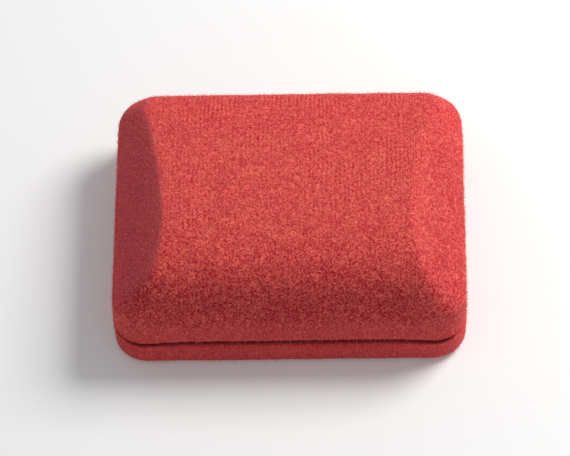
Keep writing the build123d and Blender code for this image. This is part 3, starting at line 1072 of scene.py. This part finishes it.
class BOX_OT_lid_satin(Operator):
    """Satin drawn over the wadding in the lid's crown, gathered along its edge"""

    bl_idname = "box.lid_satin"
    bl_label = "Crown satin"

    def execute(self, context):
        form, look = context.scene.box_form, context.scene.inside_look
        mesh_step, open_edge, spare_cloth = 0.8 * MM, 0.5 * MM, 0.015
        puffs, cord_overlap = 29, 0.3 * MM
        inset, foot = look.crown_inset, VAULT_LOW.z
        lining = lid_block("crown_satin", inset, foot)
        carve_lid(lining, inset)
        remesh(lining, mesh_step)
        relax(lining, 6, foot, foot + 2 * MM)
        edit(lining)
        level = min(vertex.co.z for vertex in lining.data.vertices) + open_edge
        pick(lining, "FACE", lambda face: face.calc_center_median().z < level)
        bpy.ops.mesh.delete(type="FACE")
        bpy.ops.mesh.select_all(action="SELECT")
        bpy.ops.mesh.normals_make_consistent(inside=True)
        leave()
        swell(lining, lambda place: place.z < level, look.pressure, spare_cloth, look.satin_swell)
        relax(lining, 12, foot + 1 * MM, foot + 4 * MM)
        apply_modifier(lining, "SUBSURF", levels=1)

        def gather(place):
            around = math.atan2(place.y * HALF_WIDTH / HALF_DEPTH, place.x)
            height = (place.z - foot) / look.gather_height
            inward = (inside_of_outline(place) - inset) / look.gather_height
            share = math.exp(-height * height - inward * inward) * min(max(height * 6, 0.15), 1.0)
            fold = abs(math.sin(around * puffs + 2 * math.sin(around * 7) + math.sin(around * 17)))
            return outward_from(place) * (-look.gather_depth * share * fold)

        nudge(lining, gather)
        edit(lining)
        bpy.ops.mesh.select_mode(type="EDGE")
        bpy.ops.mesh.select_all(action="DESELECT")
        bpy.ops.mesh.select_non_manifold()
        bpy.ops.mesh.extrude_edges_move()
        leave()
        for vertex in lining.data.vertices:
            if vertex.select:
                edge = HALF_WIDTH - CORD_HIGH.x + cord_overlap
                out = inside_of_outline(vertex.co) - edge
                vertex.co = vertex.co + outward_from(vertex.co) * out
                vertex.co.z = foot - look.satin_thickness - form.fit / 2
        apply_modifier(lining, "SOLIDIFY", thickness=look.satin_thickness, offset=-1.0)
        smooth(lining, 60)
        coat(lining, satin_finish(look))
        belongs(lining, "lid_satin", "lid")
        return {"FINISHED"}


class BOX_OT_wall_satin(Operator):
    """Satin over the card round the lid's wall, turned under the card's lower edge"""

    bl_idname = "box.wall_satin"
    bl_label = "Wall satin"

    def execute(self, context):
        form, look = context.scene.box_form, context.scene.inside_look
        thickness = look.satin_thickness
        card, crease_depth, cuts, rows = 0.5 * MM, 0.05 * MM, 44, 9
        inner = HALF_WIDTH - CARD_HIGH.x + card + thickness / 2 + form.fit / 4
        outer = HALF_WIDTH - CARD_HIGH.x + form.fit
        bottom = BAND_LOW.z + thickness / 2
        band = outline_plate("wall_satin", outer, bottom, cuts)
        edit(band)
        bpy.ops.mesh.select_all(action="SELECT")
        bpy.ops.mesh.inset(thickness=inner - outer)
        rise = (BAND_HIGH.z - bottom) / rows
        for row in range(rows):
            bpy.ops.mesh.extrude_region_move(TRANSFORM_OT_translate={"value": (0, 0, rise)})
        bpy.ops.mesh.delete(type="FACE")
        leave()

        def crease(place):
            around = place.x + place.y * 0.7
            pull = math.sin(around / MM * 0.9) * math.sin(around / MM * 0.23 + place.z / MM * 0.5)
            is_wall = 1.0 if place.z > bottom + rise / 2 else 0.0
            return outward_from(place) * (-crease_depth * (1 + pull) * is_wall)

        nudge(band, crease)
        apply_modifier(band, "SOLIDIFY", thickness=thickness * 0.8, offset=0.0)
        apply_modifier(band, "SUBSURF", levels=1)
        smooth(band, 60)
        coat(band, satin_finish(look))
        belongs(band, "lid_lining_satin", "lid")
        return {"FINISHED"}


class BOX_OT_piping(Operator):
    """Cord of three twisted strands round the lid where the two satins meet"""

    bl_idname = "box.piping"
    bl_label = "Piping"

    def execute(self, context):
        look = context.scene.inside_look
        strands, strand_sides, cuts_per_turn, path_cuts = 3, 8, 7, 12
        cord_radius = (CORD_HIGH.z - CORD_LOW.z) / 2
        middle = (CORD_HIGH.z + CORD_LOW.z) / 2
        path = outline_plate("cord_path", HALF_WIDTH - CORD_HIGH.x + cord_radius, middle, path_cuts)
        edit(path)
        bpy.ops.mesh.select_all(action="SELECT")
        bpy.ops.mesh.delete(type="ONLY_FACE")
        leave()
        start_from(path)
        bpy.ops.object.convert(target="CURVE")
        path.data.twist_mode = "Z_UP"
        whole = path.data.splines[0].calc_length()
        turns = round(whole / look.cord_lay)
        strand_radius = cord_radius * 0.53
        bpy.ops.object.select_all(action="DESELECT")
        bpy.ops.mesh.primitive_cylinder_add(
            vertices=strand_sides,
            radius=strand_radius,
            depth=whole,
            end_fill_type="NOTHING",
            location=(whole / 2, 0, cord_radius - strand_radius),
            rotation=(0, math.pi / 2, 0),
        )
        cord = context.active_object
        cord.name = "satin_piping"
        bpy.ops.object.transform_apply(location=True, rotation=True, scale=True)
        edit(cord)
        for cuts in (turns - 1, cuts_per_turn):
            pick(cord, "EDGE", lambda edge: abs(edge.verts[0].co.x - edge.verts[1].co.x) > PRECISE)
            bpy.ops.mesh.subdivide(number_cuts=cuts)
        leave()
        copies = [cord]
        for strand in range(1, strands):
            start_from(cord)
            bpy.ops.object.duplicate()
            copy = context.active_object
            copy.data.transform(Matrix.Rotation(2 * math.pi * strand / strands, 4, "X"))
            copies.append(copy)
        for copy in copies:
            copy.select_set(True)
        context.view_layer.objects.active = cord
        bpy.ops.object.join()
        twist = 2 * math.pi * turns
        apply_modifier(cord, "SIMPLE_DEFORM", deform_method="TWIST", deform_axis="X", angle=twist)
        apply_modifier(cord, "CURVE", object=path, deform_axis="POS_X")
        bpy.data.objects.remove(path)
        edit(cord)
        bpy.ops.mesh.select_all(action="SELECT")
        bpy.ops.mesh.remove_doubles(threshold=0.02 * MM)
        bpy.ops.mesh.normals_make_consistent(inside=False)
        leave()
        smooth(cord, 80)
        coat(cord, cord_finish(look))
        belongs(cord, "lid_piping", "lid")
        return {"FINISHED"}


class BOX_OT_hard_parts(Operator):
    """Finishes of the shells, the panel, the gilt strip, the boards, the fillings and the hinge"""

    bl_idname = "box.hard_parts"
    bl_label = "Finishes of the hard parts"

    def execute(self, context):
        look = context.scene.inside_look
        zinc = metal_finish("bright_zinc", (0.66, 0.67, 0.68), (0.42, 0.43, 0.45), 0.24, 0.9)
        blued = metal_finish("blued_steel", (0.20, 0.23, 0.30), (0.10, 0.11, 0.16), 0.28, 0.5)
        brass = metal_finish("rivet_brass", (0.80, 0.60, 0.28), (0.52, 0.36, 0.15), 0.22, 0.4)
        finishes = (
            (moulded_finish(), ("lid_shell", "base_shell")),
            (paper_finish(), ("bottom_panel",)),
            (gilt_finish(look), ("base_collar",)),
            (board_finish(), ("pad_board", "lid_lining_card")),
            (foam_finish(), ("pad_foam",)),
            (wadding_finish(), ("lid_wadding",)),
            (zinc, ("hinge_leaf_base", "hinge_leaf_lid", "hinge_pin")),
            (blued, ("hinge_spring",)),
            (brass, ("hinge_rivets_base", "hinge_rivets_lid")),
        )
        for finish, nodes in finishes:
            for node in nodes:
                coat(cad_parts[node], finish)
        return {"FINISHED"}


class BOX_OT_studio(Operator):
    """Floor, light and camera"""

    bl_idname = "box.studio"
    bl_label = "Studio"

    def execute(self, context):
        studio = context.scene.box_studio
        bpy.ops.object.select_all(action="DESELECT")
        bpy.ops.mesh.primitive_plane_add(size=4.0)
        floor = context.active_object
        floor.name = "floor"
        constants = {
            "Roughness": 0.9,
            "Specular IOR Level": 0.1,
            "Emission Color": (1.0, 1.0, 1.0, 1.0),
            "Emission Strength": studio.floor_glow,
        }
        finish = Finish("floor_paper", constants)
        pale = tuple(studio.floor)
        coat(floor, finish.show(finish.mix(finish.noise(50.0), darker(pale, 0.97), pale)))

        towards = Vector(studio.key_direction).normalized()
        bpy.ops.object.light_add(type="AREA", location=towards * studio.key_distance)
        key = context.active_object
        key.name = "key_light"
        key.rotation_euler = towards.to_track_quat("Z", "Y").to_euler()
        key.data.shape = "DISK"
        key.data.size = studio.key_size
        key.data.energy = studio.key_power
        key.data.color = (1.0, 0.985, 0.95)

        world = bpy.data.worlds.new("studio_air")
        context.scene.world = world
        world.use_nodes = True
        air = world.node_tree.nodes["Background"]
        air.inputs["Color"].default_value = (0.95, 0.97, 1.0, 1.0)
        air.inputs["Strength"].default_value = studio.sky_level

        rise, turn, roll = studio.elevation, studio.turn, studio.roll
        back = Vector(
            (math.sin(turn) * math.cos(rise), -math.cos(turn) * math.cos(rise), math.sin(rise))
        )
        right = (-back).cross(Vector((0, 0, 1))).normalized()
        up = right.cross(-back)
        rolled_right = right * math.cos(roll) + up * math.sin(roll)
        rolled_up = up * math.cos(roll) - right * math.sin(roll)
        bpy.ops.object.camera_add()
        camera = context.active_object
        camera.name = "camera"
        turned = Matrix((rolled_right, rolled_up, back)).transposed()
        place = Vector((studio.aim_x, studio.aim_y, 0)) + back * studio.distance
        camera.matrix_world = Matrix.Translation(place) @ turned.to_4x4()
        camera.data.sensor_fit = "HORIZONTAL"
        camera.data.sensor_width = 36.0
        camera.data.lens = studio.focal_px * camera.data.sensor_width / studio.picture_px
        context.scene.camera = camera
        context.scene.view_settings.view_transform = "Standard"
        return {"FINISHED"}


class BOX_PT_panel(Panel):
    """Lists the pieces of the box"""

    bl_idname = "BOX_PT_panel"
    bl_label = "Presentation box"
    bl_space_type = "VIEW_3D"
    bl_region_type = "UI"
    bl_category = "Box"

    def draw(self, context):
        for operator in OPERATORS:
            self.layout.operator(operator.bl_idname)


GROUPS = {
    "box_form": BoxForm,
    "velour_look": VelourLook,
    "inside_look": InsideLook,
    "box_studio": StudioSettings,
}
OPERATORS = (
    BOX_OT_lid_velour,
    BOX_OT_base_velour,
    BOX_OT_jewel_pad,
    BOX_OT_lid_satin,
    BOX_OT_wall_satin,
    BOX_OT_piping,
    BOX_OT_hard_parts,
    BOX_OT_studio,
)
CLASSES = (*GROUPS.values(), *OPERATORS, BOX_PT_panel)


def register():
    for made in CLASSES:
        bpy.utils.register_class(made)
    for name, group in GROUPS.items():
        setattr(bpy.types.Scene, name, PointerProperty(type=group))


def unregister():
    for name in GROUPS:
        delattr(bpy.types.Scene, name)
    for made in reversed(CLASSES):
        bpy.utils.unregister_class(made)


def main():
    register()
    bpy.ops.box.lid_velour()
    bpy.ops.box.base_velour()
    bpy.ops.box.jewel_pad()
    bpy.ops.box.lid_satin()
    bpy.ops.box.wall_satin()
    bpy.ops.box.piping()
    bpy.ops.box.hard_parts()
    bpy.ops.box.studio()


if __name__ == "__main__":
    main()
